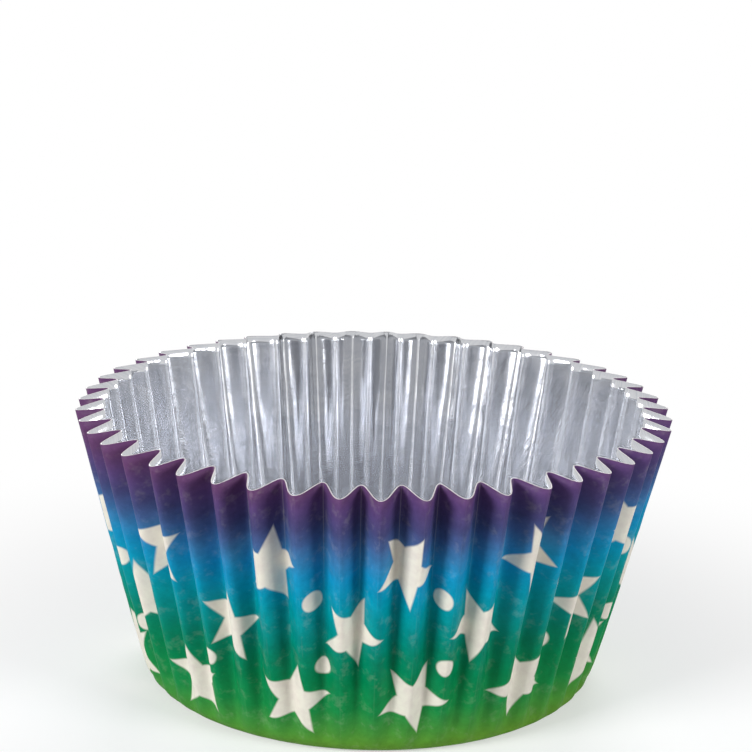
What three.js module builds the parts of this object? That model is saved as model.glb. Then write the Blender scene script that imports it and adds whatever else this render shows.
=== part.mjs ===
// A pleated baking cup: one round sheet of foil-backed paper, pressed into a flat base and a fluted wall.
// Millimetres, +Z up. The cup stands on Z = 0 with its axis on Z, and one ridge points along -Y.
import * as THREE from "three";

// Driving dimensions.
const BASE_DIAMETER = 50; // the flat part of the base
const CORNER_RADIUS = 2.3; // bend from the base up into the wall
const MOUTH_DIAMETER = 67.4; // at the rim, midway between ridges and valleys
const RIM_HEIGHT = 33.4; // midway between ridges and valleys
const SHEET = 0.1; // paper and foil together
const PLEATS = 47;
const RIDGE_ROUND = 0.14; // half width of the rounded ridge, as a share of one pleat
const VALLEY_ROUND = 0.08; // half width of the rounded valley, as a share of one pleat

// How finely the curves are cut.
const CORNER_STEPS = 3;
const WALL_STEPS = 4;
const WALL_EASE = 1.4; // over 1, rows lie closer together low on the wall, where the pleats deepen fastest

// The meridian that the pleats swing about, in the half plane of radius and height: flat base, corner, straight wall.
const baseRadius = BASE_DIAMETER / 2;
const sheetMiddle = SHEET / 2;
const acrossToRim = MOUTH_DIAMETER / 2 - baseRadius;
const upToRim = RIM_HEIGHT - sheetMiddle - CORNER_RADIUS;
const cornerCentreToRim = Math.hypot(acrossToRim, upToRim);
const flare = Math.atan2(acrossToRim, upToRim) - Math.asin(CORNER_RADIUS / cornerCentreToRim);
const cornerTurn = Math.PI / 2 - flare;
const cornerLength = CORNER_RADIUS * cornerTurn;
const wallLength = Math.sqrt(cornerCentreToRim ** 2 - CORNER_RADIUS ** 2);

// Radius and height of the meridian, at a distance along the sheet from the edge of the flat base.
function meridian(along) {
  const turn = Math.min(along, cornerLength) / CORNER_RADIUS;
  const straight = Math.max(along - cornerLength, 0);
  return new THREE.Vector2(
    baseRadius + CORNER_RADIUS * Math.sin(turn) + straight * Math.sin(flare),
    sheetMiddle + CORNER_RADIUS * (1 - Math.cos(turn)) + straight * Math.cos(flare),
  );
}

// Ridge to valley. The flat sheet is wider than the wall it becomes, and the pleats take up the difference.
function pleatDepth(along) {
  const flatRadius = baseRadius + along;
  const wallRadius = meridian(along).x;
  return (Math.PI / PLEATS) * Math.sqrt(Math.max(flatRadius ** 2 - wallRadius ** 2, 0));
}

// One pleat, as [phase, height]: phase is a share of the pleat, height runs from -1 in a valley to 1 on a ridge.
function pleatPoints() {
  const ridgeTop = 1 - 2 * RIDGE_ROUND;
  const valleyTop = 1 - 2 * VALLEY_ROUND;
  const half = (ridgeTop + valleyTop) / 2;
  const middle = (ridgeTop - valleyTop) / 2;
  const height = (sharp) => (sharp - middle) / half;
  const ridgeShoulder = height(1 - 4 * RIDGE_ROUND);
  const valleyShoulder = height(4 * VALLEY_ROUND - 1);
  return [
    [0, 1],
    [RIDGE_ROUND, ridgeShoulder],
    [0.5 - VALLEY_ROUND, valleyShoulder],
    [0.5, -1],
    [0.5 + VALLEY_ROUND, valleyShoulder],
    [1 - RIDGE_ROUND, ridgeShoulder],
  ];
}

// The line along the sheet for every column, as [angle, height of the pleat wave].
function sheetColumns() {
  const columns = [];
  for (let pleat = 0; pleat < PLEATS; pleat++) {
    for (const [phase, height] of pleatPoints()) {
      columns.push([((pleat + phase) / PLEATS) * 2 * Math.PI - Math.PI / 2, height]);
    }
  }
  return columns;
}

// Distances along the sheet at which it is cut into rows, from the edge of the flat base to the rim.
function sheetRows() {
  const rows = [0];
  for (let i = 1; i <= CORNER_STEPS; i++) rows.push((cornerLength * i) / CORNER_STEPS);
  for (let i = 1; i <= WALL_STEPS; i++) {
    rows.push(cornerLength + wallLength * (i / WALL_STEPS) ** WALL_EASE);
  }
  return rows;
}

// A point in the middle of the sheet's thickness. The pleats swing square to the straight wall.
function middlePoint(along, [angle, height]) {
  const swing = (pleatDepth(along) / 2) * height;
  const line = meridian(along);
  const radius = line.x + swing * Math.cos(flare);
  return new THREE.Vector3(
    radius * Math.cos(angle),
    radius * Math.sin(angle),
    line.y - swing * Math.sin(flare),
  );
}

// The middle of the sheet as rows of points, each row a ring.
const columns = sheetColumns();
const middle = sheetRows().map((along) => columns.map((column) => middlePoint(along, column)));

// Outward normal of the sheet at a grid point, from its neighbours in the ring and along the wall.
function sheetNormal(row, column) {
  if (row === 0) return new THREE.Vector3(0, 0, -1);
  const ring = middle[row];
  const round = new THREE.Vector3().subVectors(
    ring[(column + 1) % ring.length],
    ring[(column + ring.length - 1) % ring.length],
  );
  const above = middle[Math.min(row + 1, middle.length - 1)][column];
  const up = new THREE.Vector3().subVectors(above, middle[row - 1][column]);
  return round.cross(up).normalize();
}

// One face of the sheet: side is 1 for the printed outside and -1 for the foil inside.
function faceRings(side) {
  return middle.map((ring, row) =>
    ring.map((point, column) =>
      point.clone().addScaledVector(sheetNormal(row, column), (side * SHEET) / 2),
    ),
  );
}

// Both faces of the sheet, closed by the cut edge at the rim, as one solid.
function linerGeometry() {
  const around = columns.length;
  const rings = [...faceRings(1), ...faceRings(-1).reverse()];
  const positions = rings.flat().flatMap((point) => [point.x, point.y, point.z]);
  const indices = [];
  const addQuad = (a, b, c, d) => indices.push(a, b, c, a, c, d);
  for (let ring = 0; ring < rings.length - 1; ring++) {
    const low = ring * around;
    const high = low + around;
    for (let i = 0; i < around; i++) {
      const next = (i + 1) % around;
      // Both faces are split along the same diagonals, so that they never cross where a flank twists.
      if (ring < middle.length) addQuad(low + i, low + next, high + next, high + i);
      else addQuad(low + next, high + next, high + i, low + i);
    }
  }
  const underside = positions.length / 3;
  positions.push(0, 0, 0);
  const floor = underside + 1;
  positions.push(0, 0, SHEET);
  const lastRing = (rings.length - 1) * around;
  for (let i = 0; i < around; i++) {
    const next = (i + 1) % around;
    indices.push(underside, next, i);
    indices.push(floor, lastRing + i, lastRing + next);
  }
  const geometry = new THREE.BufferGeometry();
  geometry.setAttribute("position", new THREE.Float32BufferAttribute(positions, 3));
  geometry.setIndex(indices);
  geometry.computeVertexNormals();
  return geometry;
}

const printedPaper = new THREE.MeshStandardMaterial({
  color: new THREE.Color("#1583a6"),
  roughness: 0.5,
  metalness: 0,
});

const liner = new THREE.Mesh(linerGeometry(), printedPaper);
liner.name = "liner";

const cup = new THREE.Group();
cup.add(liner);

export default cup;
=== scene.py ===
import math

import bpy
import numpy as np
from mathutils import Matrix, Vector, noise


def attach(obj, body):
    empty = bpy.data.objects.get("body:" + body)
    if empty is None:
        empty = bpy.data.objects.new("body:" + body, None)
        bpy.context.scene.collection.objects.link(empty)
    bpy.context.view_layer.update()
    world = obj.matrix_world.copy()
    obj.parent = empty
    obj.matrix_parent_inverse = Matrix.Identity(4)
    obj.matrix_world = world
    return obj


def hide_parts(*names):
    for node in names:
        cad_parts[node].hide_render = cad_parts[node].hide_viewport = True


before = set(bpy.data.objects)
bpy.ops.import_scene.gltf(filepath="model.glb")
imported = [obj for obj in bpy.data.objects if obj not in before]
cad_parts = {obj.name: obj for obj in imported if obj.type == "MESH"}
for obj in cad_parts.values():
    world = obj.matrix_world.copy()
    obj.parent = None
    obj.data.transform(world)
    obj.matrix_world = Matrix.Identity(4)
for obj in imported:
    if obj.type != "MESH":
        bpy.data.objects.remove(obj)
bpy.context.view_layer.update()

# A pleated baking cup of printed, foil-lined paper, standing on a pale floor. Metres, +Z up.

# The cup's driving dimensions.
BASE_RADIUS = 0.025
CORNER_RADIUS = 0.0023
MOUTH_RADIUS = 0.0337  # at the rim, midway between ridges and valleys
RIM_HEIGHT = 0.0334  # midway between ridges and valleys
SHEET = 0.0001  # paper and foil together
PLEATS = 47
RIDGE_ROUND = 0.19  # half width of the rounded ridge, as a share of one pleat
VALLEY_ROUND = 0.16  # half width of the rounded valley, as a share of one pleat

# How unlike each other the pressed pleats are, as shares of one pleat's width and half depth.
FOLD_SHIFT = 0.045
FOLD_TWIST = 0.05
FOLD_DEPTH = 0.07
SEED = 11

# How far the whole cup is out of round, as a share of its radius, and where it is widest.
OUT_OF_ROUND = 0.004
WIDEST_AT = math.radians(-17)

# The pleats grow to their full depth over this length from the edge of the flat base.
PLEAT_START = 0.0045

# Height and width of the slow rises and hollows of the paper.
CRINKLE = 0.00004
CRINKLE_SIZE = 0.004
CRINKLE_OCTAVES = (1, 2, 3)  # how fast the octaves weaken, their step in size and their number

# How finely the sheet is cut.
COLUMNS_PER_FLANK = 10
FOLD_CROWDING = 0.09  # how much closer together the columns lie at the folds
BASE_ROWS = 4
BASE_SPREAD = 0.9  # how far in the base's rows reach before they are eased, as a share of its radius
BASE_EASE = 1.5  # over 1, the base's rows lie closer together at its edge
CORNER_ROWS = 8
WALL_ROWS = 28

# Material slots of the mesh.
PRINT_SLOT = 0
FOIL_SLOT = 1
EDGE_SLOT = 2

# The flat round sheet nearly fills its UV map, which is this wide.
BLANK_WIDTH = 0.124

# Camera: fitted to the outlines in the photograph.
IMAGE_WIDTH = 752
FOCAL_PIXELS = 2382.3
SENSOR = 36.0
CAMERA_TARGET = Vector((0, 0, 0.0165))
CAMERA_DISTANCE = 0.29034
CAMERA_AZIMUTH = math.radians(1.7)
CAMERA_ELEVATION = math.radians(19.64)
CAMERA_PAN = math.radians(0.022)
CAMERA_TILT = math.radians(3.859)
CAMERA_ROLL = math.radians(1.435)
NEAREST_SEEN = 0.01
FARTHEST_SEEN = 10.0


def srgb(red, green, blue):
    """A screen colour of 0 to 255 as a linear RGBA colour."""
    def linear(value):
        value /= 255
        return value / 12.92 if value <= 0.04045 else ((value + 0.055) / 1.055) ** 2.4
    return (linear(red), linear(green), linear(blue), 1.0)


# The print lies a little off the middle of the flat sheet: its centre, and colour by distance from there,
# with painted shade and painted sheen worked into a few stops.
PRINT_CENTRE = (0.0012, -0.0012)
PRINT_AND_PAINTED_LIGHT_STOPS = [
    (0.0000, srgb(226, 42, 84)),
    (0.0060, srgb(178, 34, 38)),
    (0.0110, srgb(246, 108, 34)),
    (0.0165, srgb(246, 120, 34)),
    (0.0200, srgb(152, 176, 30)),
    (0.0238, srgb(108, 164, 36)),
    # These two stops, on the round corner where the wall turns under to the floor, are print green
    # darkened a little: painted shade.
    (0.0259, srgb(90, 138, 44)),
    (0.0279, srgb(66, 134, 52)),
    (0.0310, srgb(20, 127, 64)),
    (0.0350, srgb(0, 121, 74)),
    (0.0383, srgb(0, 121, 93)),
    (0.0413, srgb(0, 130, 125)),
    (0.0438, srgb(0, 138, 147)),
    (0.0463, srgb(0, 138, 168)),
    # These three stops are print blue with red added for a whitish sheen on the ridges: painted sheen.
    (0.0488, srgb(18, 133, 178)),
    (0.0508, srgb(50, 116, 164)),
    (0.0528, srgb(62, 89, 136)),
    (0.0548, srgb(64, 66, 110)),
    (0.0575, srgb(82, 61, 108)),
    (0.0595, srgb(91, 58, 96)),
]
PAPER_WHITE = srgb(220, 216, 203)
PAPER_CREAM = srgb(213, 206, 196)
PAPER_ROUGHNESS = (0.38, 0.52)
PAPER_SPECULAR = 0.06

# Noise lies around a half: a narrow and a wide span of it, to be stretched to full strength.
NARROW_SPAN = (0.35, 0.65)
WIDE_SPAN = (0.3, 0.7)

# Unevenness of the ink: the size of each kind on the flat sheet, and its strength.
DRIFT_SIZE = 0.012
RING_DRIFT = 0.0016  # how far the rings of colour wander
CLOUD_SIZE = 0.0016
INK_CLOUDS = 0.5  # how strongly the ink varies in soft clouds
FIBRE_SIZE = 0.0005
INK_GRAIN = 0.35  # how strongly it varies with the fibres
THIN_SIZE = 0.0022
THIN_SPAN = (0.52, 0.72)
THIN_INK = 0.07  # how far the paper shows through where the ink is thin
FIBRE_BUMP = (0.3, 0.00004)  # strength and height of the fibres' relief

# Folds crack the ink on ridges, and valley creases carry a painted highlight: half width of a crease line,
# the strength of the cracked ink on ridges and of the painted highlight in valleys, size of worn patches.
CREASE_WIDTH = 0.00014
RIDGE_WEAR = 0.02
# Strength of the painted highlight along valley creases, standing in for light caught in the fold.
VALLEY_HIGHLIGHT = 0.14
WEAR_SIZE = 0.003

# The painted highlight along valley creases fades in between these distances on the flat sheet.
CREASE_START = 0.046
CREASE_FULL = 0.058

# The cut edge: its two tones, the size of their patches, and its roughness.
EDGE_LIGHT = srgb(235, 230, 226)
EDGE_DARK = srgb(190, 182, 190)
EDGE_PATCH = 0.0008
EDGE_ROUGHNESS = 0.6

# The foil: its two tones, where it is dull, and its roughness.
FOIL = srgb(204, 205, 208)
FOIL_DULL = srgb(190, 192, 197)
DULL_CRINKLE = 0.5  # how much the crinkles count beside the rolled lines
DULL_SPAN = (0.5, 1.0)
FOIL_ROUGHNESS = (0.12, 0.22)

# Relief of the foil: size of its crinkles, their share beside the streaks, and strength and height.
FOIL_CRINKLE_SIZE = 0.002
FOIL_CRINKLE = 0.4
FOIL_BUMP = (0.6, 0.0001)

# Rolling leaves fine straight lines in foil: their width, length and direction.
ROLL_WIDTH = 0.0002
ROLL_LENGTH = 0.03
ROLL_TURN = math.radians(24)

# Drawn foil has streaks up the wall: radius of the ring of noise that makes them, and the length of one.
STREAK_RING = 90.0
STREAK_LENGTH = 0.008

# Rows of stars and dots: distance from the print's centre, how many, turn of the row in steps, and radius.
STAR_ROWS = [
    (0.0135, 5, 0.25, 0.0045),
    (0.0325, 13, 0.0, 0.0047),
    (0.0414, 13, 0.5, 0.0047),
    (0.0496, 13, 0.1, 0.0050),
]
DOT_ROWS = [
    (0.0185, 5, 0.75, 0.0010),
    (0.0367, 13, 0.75, 0.0011),
    (0.0454, 13, 0.8, 0.0012),
]
STAR_POINTS = 5
STAR_TILT = 1.0  # turn from each star of a row to the next, in radians
STAR_WAIST = 0.46  # inner radius over outer radius
EDGE_BLUR = 0.00016  # half width of a motif's soft edge

# The floor: its own tone, the tone that the camera sees, and where it fades to a white backdrop.
FLOOR_TONE = (0.75, 0.75, 0.75, 1)
FLOOR_SEEN = (0.98, 0.98, 0.98, 1)
FLOOR_NEAR = 0.03
FLOOR_FAR = 0.09
FLOOR_HALF = 3.0  # half its width
FLOOR_ROUGHNESS = 0.9
NEAR_WHITE = 0.45  # how much of the backdrop shows close to the cup

# Light: the soft world, and three wide lamps round the cup, each as place, width and power.
WORLD_LIGHT = 0.16
LEFT_LAMP = ((-0.76, -0.58, 0.42), 0.4, 10.2)
RIGHT_LAMP = ((0.78, -0.55, 0.42), 0.4, 6.6)
BACK_LAMP = ((0.15, 0.95, 0.5), 0.5, 6.0)


class Meridian:
    """The line that the pleats swing about: flat base, round corner, straight wall."""

    def __init__(self):
        across = MOUTH_RADIUS - BASE_RADIUS
        up = RIM_HEIGHT - SHEET / 2 - CORNER_RADIUS
        reach = math.hypot(across, up)
        self.flare = math.atan2(across, up) - math.asin(CORNER_RADIUS / reach)
        self.corner_length = CORNER_RADIUS * (math.pi / 2 - self.flare)
        self.wall_length = math.sqrt(reach ** 2 - CORNER_RADIUS ** 2)
        self.length = self.corner_length + self.wall_length

    def at(self, along):
        """Radius and height at distances along the sheet from the edge of the flat base."""
        turn = np.clip(along, 0, self.corner_length) / CORNER_RADIUS
        straight = np.maximum(along - self.corner_length, 0)
        radius = BASE_RADIUS + np.minimum(along, 0)
        radius = radius + CORNER_RADIUS * np.sin(turn) + straight * math.sin(self.flare)
        height = SHEET / 2 + CORNER_RADIUS * (1 - np.cos(turn)) + straight * math.cos(self.flare)
        return radius, height


def pleat_wave(phase):
    """Height of one pleat, from 1 on the ridge at phase 0 to -1 in the valley at phase 0.5."""
    from_ridge = np.abs(phase - np.round(phase))
    from_valley = 0.5 - from_ridge
    sharp = 1 - 4 * from_ridge
    ridge = 1 - 2 * RIDGE_ROUND - 2 * from_ridge ** 2 / RIDGE_ROUND
    valley = -1 + 2 * VALLEY_ROUND + 2 * from_valley ** 2 / VALLEY_ROUND
    wave = np.where(from_ridge < RIDGE_ROUND, ridge, sharp)
    wave = np.where(from_valley < VALLEY_ROUND, valley, wave)
    half = 1 - RIDGE_ROUND - VALLEY_ROUND
    return (wave - (VALLEY_ROUND - RIDGE_ROUND)) / half


def column_phases():
    """Phases of the columns round the cup, in pleats, closer together at the folds."""
    even = np.linspace(0, 1, COLUMNS_PER_FLANK, endpoint=False)
    flank = (even - FOLD_CROWDING * np.sin(2 * np.pi * even)) / 2
    return np.concatenate([fold / 2 + flank for fold in range(2 * PLEATS)])


def fold_values(phases, values):
    """One value for each ridge and valley, spread evenly over the flanks between them."""
    place = 2 * phases
    fold = np.floor(place).astype(int)
    share = place - fold
    return values[fold % len(values)] * (1 - share) + values[(fold + 1) % len(values)] * share


def row_distances(meridian):
    """Distances along the sheet from the edge of the flat base, negative on the base."""
    base = -BASE_RADIUS * np.linspace(BASE_SPREAD, 0, BASE_ROWS, endpoint=False) ** BASE_EASE
    corner = meridian.corner_length * np.linspace(0, 1, CORNER_ROWS, endpoint=False)
    wall = meridian.corner_length + meridian.wall_length * np.linspace(0, 1, WALL_ROWS + 1)
    return np.concatenate([base, corner, wall])


def crinkles(blank):
    """Small rises and hollows of the paper at points of the flat sheet."""
    flat = blank.reshape(-1, 2) / CRINKLE_SIZE
    heights = [noise.fractal((x, y, 0), *CRINKLE_OCTAVES) for x, y in flat]
    return CRINKLE * np.array(heights).reshape(blank.shape[:2])


def sheet_surface():
    """Middle of the sheet, its outward normals and its flat coordinates, as rows by columns."""
    rng = np.random.default_rng(SEED)
    meridian = Meridian()
    along = row_distances(meridian)[:, None]
    phases = column_phases()[None, :]
    share = np.clip(along / meridian.length, 0, 1)

    folds = 2 * PLEATS
    shift = fold_values(phases, rng.uniform(-FOLD_SHIFT, FOLD_SHIFT, folds))
    twist = fold_values(phases, rng.uniform(-FOLD_TWIST, FOLD_TWIST, folds))
    deeper = fold_values(phases, rng.uniform(-FOLD_DEPTH, FOLD_DEPTH, folds))

    flat_radius = BASE_RADIUS + along
    flat_angle = 2 * np.pi * phases / PLEATS - np.pi / 2
    blank = np.stack(
        [flat_radius * np.cos(flat_angle), flat_radius * np.sin(flat_angle)], axis=-1
    )

    radius, height = meridian.at(along)
    depth = np.pi / PLEATS * np.sqrt(np.maximum(flat_radius ** 2 - radius ** 2, 0))
    grown = np.clip(along / PLEAT_START, 0, 1)
    swing = depth / 2 * (pleat_wave(phases) + deeper) * grown ** 2 * (3 - 2 * grown)
    loose = crinkles(blank) * np.clip(along / meridian.corner_length, 0, 1)
    angle = flat_angle + 2 * np.pi / PLEATS * (shift + twist * (share - 0.5)) * np.sqrt(share)
    radius = radius * (1 + OUT_OF_ROUND * share * np.cos(2 * (flat_angle - WIDEST_AT)))
    radius = radius + (swing + loose) * math.cos(meridian.flare)
    height = height - (swing + loose) * math.sin(meridian.flare)
    height = np.broadcast_to(height, radius.shape)
    middle = np.stack([radius * np.cos(angle), radius * np.sin(angle), height], axis=-1)

    round_step = np.roll(middle, -1, axis=1) - np.roll(middle, 1, axis=1)
    up_step = np.gradient(middle, axis=0)
    normals = np.cross(round_step, up_step)
    normals /= np.linalg.norm(normals, axis=-1, keepdims=True)
    normals[: BASE_ROWS + 1] = (0, 0, -1)
    return middle, normals, blank


def liner_mesh(name):
    """The printed face, the foil face and the cut edge between them, as one closed mesh."""
    middle, normals, blank = sheet_surface()
    rows, around = middle.shape[:2]
    outside = middle + normals * SHEET / 2
    inside = middle - normals * SHEET / 2
    points = [*outside.reshape(-1, 3), *inside.reshape(-1, 3)]
    flat = [*blank.reshape(-1, 2), *blank.reshape(-1, 2)]
    underside = len(points)
    floor = underside + 1
    points += [(0, 0, 0), (0, 0, SHEET)]
    flat += [(0, 0), (0, 0)]

    faces = []
    slots = []
    inner = rows * around
    for column in range(around):
        after = (column + 1) % around
        for row in range(rows - 1):
            low, high = row * around, (row + 1) * around
            faces.append((low + column, low + after, high + after, high + column))
            below, above = inner + low, inner + high
            faces.append((below + after, below + column, above + column, above + after))
            slots += [PRINT_SLOT, FOIL_SLOT]
        rim = (rows - 1) * around
        faces.append((rim + column, rim + after, inner + rim + after, inner + rim + column))
        faces.append((underside, after, column))
        faces.append((floor, inner + column, inner + after))
        slots += [EDGE_SLOT, PRINT_SLOT, FOIL_SLOT]

    mesh = bpy.data.meshes.new(name)
    mesh.from_pydata(points, [], faces)
    mesh.polygons.foreach_set("material_index", slots)
    mesh.polygons.foreach_set("use_smooth", [slot != EDGE_SLOT for slot in slots])
    layer = mesh.uv_layers.new(name="flat_sheet")
    corners = np.empty(len(mesh.loops), dtype=np.int32)
    mesh.loops.foreach_get("vertex_index", corners)
    layer.data.foreach_set("uv", (0.5 + np.array(flat)[corners] / BLANK_WIDTH).ravel())
    mesh.update()
    return mesh


class Graph:
    """Short calls for adding nodes to a node tree."""

    def __init__(self, tree):
        self.tree = tree

    def add(self, kind, **settings):
        node = self.tree.nodes.new(kind)
        for key, value in settings.items():
            setattr(node, key, value)
        return node

    def put(self, socket, value):
        if isinstance(value, bpy.types.NodeSocket):
            self.tree.links.new(value, socket)
        else:
            socket.default_value = value

    def math(self, operation, *values):
        node = self.add("ShaderNodeMath", operation=operation)
        for socket, value in zip(node.inputs, values):
            self.put(socket, value)
        return node.outputs[0]

    def mix(self, factor, below, above):
        node = self.add("ShaderNodeMix", data_type="RGBA")
        self.put(node.inputs["Factor"], factor)
        self.put(node.inputs["A"], below)
        self.put(node.inputs["B"], above)
        return node.outputs["Result"]

    def length(self, x, y):
        """Distance of a place from the origin."""
        squares = [self.math("POWER", value, 2.0) for value in (x, y)]
        return self.math("SQRT", self.math("ADD", *squares))

    def ramp(self, value, stops):
        node = self.add("ShaderNodeValToRGB")
        elements = node.color_ramp.elements
        while len(elements) < len(stops):
            elements.new(0.5)
        for element, (place, colour) in zip(elements, stops):
            element.position = place
            element.color = colour
        self.put(node.inputs["Fac"], value)
        return node.outputs["Color"]

    def noise(self, vector, size, detail=2.0, roughness=0.5):
        node = self.add("ShaderNodeTexNoise")
        self.put(node.inputs["Vector"], vector)
        node.inputs["Scale"].default_value = 1 / size
        node.inputs["Detail"].default_value = detail
        node.inputs["Roughness"].default_value = roughness
        return node.outputs["Fac"]

    def span(self, value, low, high, to_low=0.0, to_high=1.0):
        """A smooth step from to_low, where the value is low, to to_high, where it is high."""
        node = self.add("ShaderNodeMapRange", interpolation_type="SMOOTHSTEP")
        for socket, part in zip(node.inputs, (value, low, high, to_low, to_high)):
            self.put(socket, part)
        return node.outputs["Result"]

    def bump(self, shader, height, strength, distance):
        node = self.add("ShaderNodeBump")
        node.inputs["Strength"].default_value = strength
        node.inputs["Distance"].default_value = distance
        self.put(node.inputs["Height"], height)
        self.put(shader.inputs["Normal"], node.outputs["Normal"])

    def flat_sheet(self, centre=(0.0, 0.0)):
        """Place on the flat sheet in metres from a centre, its distance from there and its angle."""
        coordinates = self.add("ShaderNodeUVMap", uv_map="flat_sheet").outputs["UV"]
        place = self.add("ShaderNodeVectorMath", operation="MULTIPLY_ADD")
        self.put(place.inputs[0], coordinates)
        place.inputs[1].default_value = (BLANK_WIDTH, BLANK_WIDTH, 0)
        place.inputs[2].default_value = (-BLANK_WIDTH / 2 - centre[0], -BLANK_WIDTH / 2 - centre[1], 0)
        split = self.add("ShaderNodeSeparateXYZ")
        self.put(split.inputs[0], place.outputs[0])
        x, y = split.outputs["X"], split.outputs["Y"]
        return place.outputs[0], self.length(x, y), self.math("ARCTAN2", y, x)


def row_place(graph, distance, angle, row):
    """Place relative to the nearest motif of a row, as x outwards and y round the sheet, and its angle."""
    row_distance, count, turn, _ = row
    step = 2 * math.pi / count
    turned = graph.math("ADD", angle, turn * step)
    nearest = graph.math("MULTIPLY", graph.math("ROUND", graph.math("DIVIDE", turned, step)), step)
    local = graph.math("SUBTRACT", turned, nearest)
    outwards = graph.math("MULTIPLY", distance, graph.math("COSINE", local))
    x = graph.math("SUBTRACT", outwards, row_distance)
    y = graph.math("MULTIPLY", distance, graph.math("SINE", local))
    return x, y, nearest


def star_mask(graph, distance, angle, row):
    """1 inside the five-pointed stars of a row."""
    _, count, _, size = row
    x, y, star_angle = row_place(graph, distance, angle, row)
    reach = graph.length(x, y)
    tilt = graph.math("MULTIPLY", star_angle, STAR_TILT * count / (2 * math.pi))
    turned = graph.math("ADD", graph.math("ARCTAN2", y, x), tilt)
    folded = graph.math("PINGPONG", turned, math.pi / STAR_POINTS)
    along = graph.math("MULTIPLY", reach, graph.math("COSINE", folded))
    beside = graph.math("MULTIPLY", reach, graph.math("SINE", folded))
    waist_x = size * STAR_WAIST * math.cos(math.pi / STAR_POINTS)
    waist_y = size * STAR_WAIST * math.sin(math.pi / STAR_POINTS)
    side = math.hypot(waist_y, size - waist_x)
    outward_x, outward_y = waist_y / side, (size - waist_x) / side
    past_edge = graph.math(
        "ADD",
        graph.math("MULTIPLY", graph.math("SUBTRACT", along, size), outward_x),
        graph.math("MULTIPLY", beside, outward_y),
    )
    return graph.span(past_edge, EDGE_BLUR, -EDGE_BLUR)


def dot_mask(graph, distance, angle, row):
    """1 inside the round dots of a row."""
    *_, radius = row
    x, y, _ = row_place(graph, distance, angle, row)
    return graph.span(graph.length(x, y), radius + EDGE_BLUR, radius - EDGE_BLUR)


def crease_mask(graph, distance, angle, first):
    """1 along every fold of one kind, where first is the phase of the first one."""
    pleats_per_radian = PLEATS / (2 * math.pi)
    turned = graph.math("ADD", angle, math.pi / 2 + first / pleats_per_radian)
    off_fold = graph.math("PINGPONG", turned, math.pi / PLEATS)
    return graph.span(graph.math("MULTIPLY", off_fold, distance), CREASE_WIDTH, 0.0)


def new_material(name):
    """A new material, its node graph and its shader."""
    material = bpy.data.materials.new(name)
    material.use_nodes = True
    graph = Graph(material.node_tree)
    return material, graph, material.node_tree.nodes["Principled BSDF"]


def printed_paper():
    """Greaseproof paper printed in rings of colour, with some painted shade and painted sheen in the
    rings, unprinted stars and dots, and a painted highlight along the valley creases.
    """
    material, graph, shader = new_material("printed_paper")
    place, distance, angle = graph.flat_sheet(PRINT_CENTRE)
    drift = graph.math("SUBTRACT", graph.noise(place, DRIFT_SIZE), 0.5)
    shifted = graph.math("ADD", distance, graph.math("MULTIPLY", drift, RING_DRIFT))
    stops = [(at / (BLANK_WIDTH / 2), colour) for at, colour in PRINT_AND_PAINTED_LIGHT_STOPS]
    rings = graph.ramp(graph.math("DIVIDE", shifted, BLANK_WIDTH / 2), stops)

    clouds = graph.noise(place, CLOUD_SIZE, detail=3.0, roughness=0.6)
    fibres = graph.noise(place, FIBRE_SIZE, detail=3.0, roughness=0.65)
    level = graph.math("MULTIPLY_ADD", clouds, INK_CLOUDS, 1 - INK_CLOUDS / 2 - INK_GRAIN / 2)
    uneven = graph.add("ShaderNodeHueSaturation")
    graph.put(uneven.inputs["Value"], graph.math("MULTIPLY_ADD", fibres, INK_GRAIN, level))
    graph.put(uneven.inputs["Color"], rings)

    thinning = graph.noise(place, THIN_SIZE, detail=3.0, roughness=0.7)
    thin = graph.span(thinning, *THIN_SPAN, 0.0, THIN_INK)
    ink = graph.mix(thin, uneven.outputs["Color"], PAPER_WHITE)

    masks = [star_mask(graph, distance, angle, row) for row in STAR_ROWS]
    masks += [dot_mask(graph, distance, angle, row) for row in DOT_ROWS]
    bare = masks[0]
    for mask in masks[1:]:
        bare = graph.math("MAXIMUM", bare, mask)
    paper = graph.mix(graph.span(clouds, *NARROW_SPAN), PAPER_WHITE, PAPER_CREAM)
    colour = graph.mix(bare, ink, paper)

    worn = graph.span(graph.noise(place, WEAR_SIZE), *NARROW_SPAN, 0.0, RIDGE_WEAR)
    _, reach, turn = graph.flat_sheet()
    near_rim = graph.span(reach, CREASE_START, CREASE_FULL, 0.0, VALLEY_HIGHLIGHT)
    on_wall = graph.span(reach, BASE_RADIUS, BASE_RADIUS + CORNER_RADIUS)
    ridges = graph.math("MULTIPLY", crease_mask(graph, reach, turn, 0.0), on_wall)
    ridges = graph.math("MULTIPLY", ridges, worn)
    # Painted highlight along the valley creases, fading in toward the rim.
    valleys = graph.math("MULTIPLY", crease_mask(graph, reach, turn, 0.5), near_rim)
    # Paper white where the ridges' ink is cracked in worn patches, and where the valleys carry their
    # painted highlight.
    colour = graph.mix(graph.math("MAXIMUM", ridges, valleys), colour, PAPER_WHITE)

    graph.put(shader.inputs["Base Color"], colour)
    graph.put(shader.inputs["Roughness"], graph.span(fibres, *WIDE_SPAN, *PAPER_ROUGHNESS))
    shader.inputs["Specular IOR Level"].default_value = PAPER_SPECULAR
    graph.bump(shader, fibres, *FIBRE_BUMP)
    return material


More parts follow.
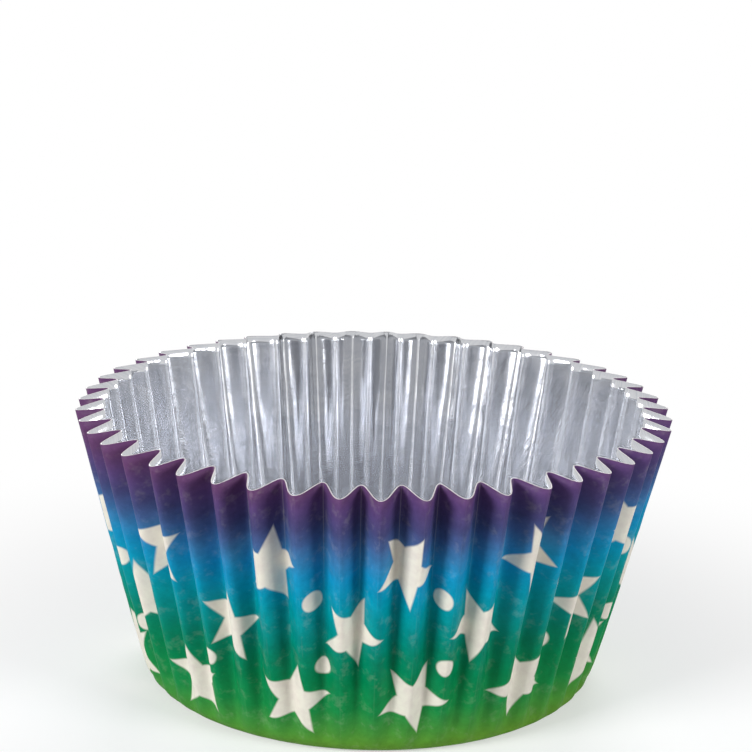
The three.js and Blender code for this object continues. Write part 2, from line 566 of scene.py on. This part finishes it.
def foil_lining():
    """Bright aluminium foil: crinkled on the base, and streaked where it was drawn up the wall."""
    material, graph, shader = new_material("foil_lining")
    place, distance, angle = graph.flat_sheet()
    crinkled = graph.noise(place, FOIL_CRINKLE_SIZE)
    polar = graph.add("ShaderNodeCombineXYZ")
    graph.put(polar.inputs["X"], graph.math("MULTIPLY", graph.math("COSINE", angle), STREAK_RING))
    graph.put(polar.inputs["Y"], graph.math("MULTIPLY", graph.math("SINE", angle), STREAK_RING))
    graph.put(polar.inputs["Z"], graph.math("DIVIDE", distance, STREAK_LENGTH))
    streaks = graph.noise(polar.outputs[0], 1.0, detail=1.0)
    stretched = graph.add("ShaderNodeMapping", vector_type="TEXTURE")
    graph.put(stretched.inputs["Vector"], place)
    stretched.inputs["Rotation"].default_value = (0, 0, ROLL_TURN)
    stretched.inputs["Scale"].default_value = (ROLL_LENGTH, ROLL_WIDTH, 1)
    rolled = graph.noise(stretched.outputs[0], 1.0)
    dull = graph.span(graph.math("MULTIPLY_ADD", crinkled, DULL_CRINKLE, rolled), *DULL_SPAN)
    on_wall = graph.span(distance, BASE_RADIUS, BASE_RADIUS + CORNER_RADIUS)
    crinkle_relief = graph.math("MULTIPLY", crinkled, FOIL_CRINKLE)
    relief = graph.math("MULTIPLY_ADD", streaks, on_wall, crinkle_relief)

    shader.inputs["Metallic"].default_value = 1.0
    graph.put(shader.inputs["Base Color"], graph.mix(dull, FOIL, FOIL_DULL))
    graph.put(shader.inputs["Roughness"], graph.span(rolled, *WIDE_SPAN, *FOIL_ROUGHNESS))
    graph.bump(shader, relief, *FOIL_BUMP)
    return material


def cut_edge():
    """The bare edge of the paper at the rim."""
    material, graph, shader = new_material("cut_edge")
    place, _, _ = graph.flat_sheet()
    tone = graph.noise(place, EDGE_PATCH)
    graph.put(shader.inputs["Base Color"], graph.mix(tone, EDGE_LIGHT, EDGE_DARK))
    shader.inputs["Roughness"].default_value = EDGE_ROUGHNESS
    return material


def make_liner():
    """The cup with its three materials, in place of the plain solid."""
    liner = bpy.data.objects.new("pleated_liner", liner_mesh("pleated_liner"))
    bpy.context.collection.objects.link(liner)
    for material in (printed_paper(), foil_lining(), cut_edge()):
        liner.data.materials.append(material)
    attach(liner, "root")
    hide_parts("liner")


def make_floor():
    """A wide pale floor that keeps the cup's shadow."""
    mesh = bpy.data.meshes.new("floor")
    signs = [(-1, -1), (1, -1), (1, 1), (-1, 1)]
    mesh.from_pydata([(x * FLOOR_HALF, y * FLOOR_HALF, 0) for x, y in signs], [], [(0, 1, 2, 3)])
    floor = bpy.data.objects.new("floor", mesh)
    bpy.context.collection.objects.link(floor)
    material, graph, shader = new_material("pale_floor")
    seen = graph.add("ShaderNodeLightPath").outputs["Is Camera Ray"]
    graph.put(shader.inputs["Base Color"], graph.mix(seen, FLOOR_TONE, FLOOR_SEEN))
    shader.inputs["Roughness"].default_value = FLOOR_ROUGHNESS
    shader.inputs["Specular IOR Level"].default_value = 0.0
    place = graph.add("ShaderNodeNewGeometry").outputs["Position"]
    reach = graph.add("ShaderNodeVectorMath", operation="LENGTH")
    graph.put(reach.inputs[0], place)
    far = graph.span(reach.outputs["Value"], FLOOR_NEAR, FLOOR_FAR, NEAR_WHITE, 1.0)
    white = graph.add("ShaderNodeEmission")
    blend = graph.add("ShaderNodeMixShader")
    graph.put(blend.inputs[0], graph.math("MULTIPLY", seen, far))
    graph.put(blend.inputs[1], shader.outputs[0])
    graph.put(blend.inputs[2], white.outputs[0])
    graph.put(material.node_tree.nodes["Material Output"].inputs["Surface"], blend.outputs[0])
    mesh.materials.append(material)


def make_world():
    """White where it is seen or mirrored, and soft grey light elsewhere."""
    world = bpy.data.worlds.new("studio")
    bpy.context.scene.world = world
    world.use_nodes = True
    graph = Graph(world.node_tree)
    background = world.node_tree.nodes["Background"]
    path = graph.add("ShaderNodeLightPath")
    seen = graph.math("MAXIMUM", path.outputs["Is Camera Ray"], path.outputs["Is Glossy Ray"])
    seen = graph.math("MAXIMUM", seen, path.outputs["Is Transmission Ray"])
    background.inputs["Color"].default_value = (1, 1, 1, 1)
    strength = graph.math("MULTIPLY_ADD", seen, 1 - WORLD_LIGHT, WORLD_LIGHT)
    graph.put(background.inputs["Strength"], strength)


def make_lamp(name, place, size, power):
    """A square lamp aimed at the cup."""
    lamp = bpy.data.lights.new(name, "AREA")
    lamp.shape = "SQUARE"
    lamp.size = size
    lamp.energy = power
    lamp_object = bpy.data.objects.new(name, lamp)
    bpy.context.collection.objects.link(lamp_object)
    lamp_object.location = place
    lamp_object.rotation_euler = (CAMERA_TARGET - Vector(place)).to_track_quat("-Z", "Y").to_euler()


def make_camera():
    """The camera that takes the photograph's view."""
    camera = bpy.data.objects.new("camera", bpy.data.cameras.new("camera"))
    bpy.context.collection.objects.link(camera)
    bpy.context.scene.camera = camera
    camera.data.sensor_width = SENSOR
    camera.data.lens = SENSOR * FOCAL_PIXELS / IMAGE_WIDTH
    camera.data.clip_start = NEAREST_SEEN
    camera.data.clip_end = FARTHEST_SEEN

    right = Vector((1, 0, 0))
    forward = Vector((0, math.cos(CAMERA_ELEVATION), -math.sin(CAMERA_ELEVATION)))
    up = Vector((0, math.sin(CAMERA_ELEVATION), math.cos(CAMERA_ELEVATION)))
    panned_right = math.cos(CAMERA_PAN) * right - math.sin(CAMERA_PAN) * forward
    panned_forward = math.sin(CAMERA_PAN) * right + math.cos(CAMERA_PAN) * forward
    tilted_up = math.cos(CAMERA_TILT) * up - math.sin(CAMERA_TILT) * panned_forward
    tilted_forward = math.sin(CAMERA_TILT) * up + math.cos(CAMERA_TILT) * panned_forward
    rolled_right = math.cos(CAMERA_ROLL) * panned_right + math.sin(CAMERA_ROLL) * tilted_up
    rolled_up = math.cos(CAMERA_ROLL) * tilted_up - math.sin(CAMERA_ROLL) * panned_right
    matrix = Matrix((rolled_right, rolled_up, -tilted_forward)).transposed().to_4x4()
    matrix.translation = CAMERA_TARGET - CAMERA_DISTANCE * forward
    camera.matrix_world = Matrix.Rotation(-CAMERA_AZIMUTH, 4, "Z") @ matrix


make_liner()
make_floor()
make_world()
make_lamp("left lamp", *LEFT_LAMP)
make_lamp("right lamp", *RIGHT_LAMP)
make_lamp("back lamp", *BACK_LAMP)
make_camera()
bpy.context.scene.view_settings.view_transform = "Standard"
